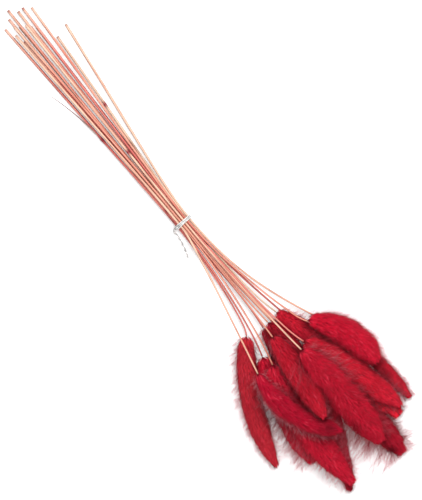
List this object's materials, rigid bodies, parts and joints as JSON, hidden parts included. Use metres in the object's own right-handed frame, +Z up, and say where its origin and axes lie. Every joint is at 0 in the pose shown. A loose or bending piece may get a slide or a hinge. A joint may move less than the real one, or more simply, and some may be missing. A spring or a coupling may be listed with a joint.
{
  "type": "dried bunny tail grass bunch",
  "caption": "Tied bunch of dyed, dried bunny tail grass with soft pointed heads on thin straw stems, lying on its side.",
  "frame": {"origin": "middle of the footprint of the lying bunch, at the level of the surface that it lies on", "axes": "+X along the bunch from the cut ends to the heads, +Z up from the surface"},
  "size_m": [0.4148, 0.1124, 0.0386],
  "materials": {
    "stem_straw": "satin",
    "grass_head": "matte",
    "tie_white": "satin"
  },
  "bodies": {
    "root": {"stem_01": "stem_straw", "head_01": "grass_head", "stem_02": "stem_straw", "head_02": "grass_head", "stem_03": "stem_straw", "head_03": "grass_head", "stem_04": "stem_straw", "head_04": "grass_head", "stem_05": "stem_straw", "head_05": "grass_head", "stem_06": "stem_straw", "head_06": "grass_head", "stem_07": "stem_straw", "head_07": "grass_head", "stem_08": "stem_straw", "head_08": "grass_head", "stem_09": "stem_straw", "head_09": "grass_head", "stem_10": "stem_straw", "head_10": "grass_head", "stem_11": "stem_straw", "head_11": "grass_head", "stem_12": "stem_straw", "head_12": "grass_head", "stem_13": "stem_straw", "head_13": "grass_head", "stem_14": "stem_straw", "head_14": "grass_head", "stem_15": "stem_straw", "head_15": "grass_head", "tie": "tie_white"}
  },
  "joints": []
}
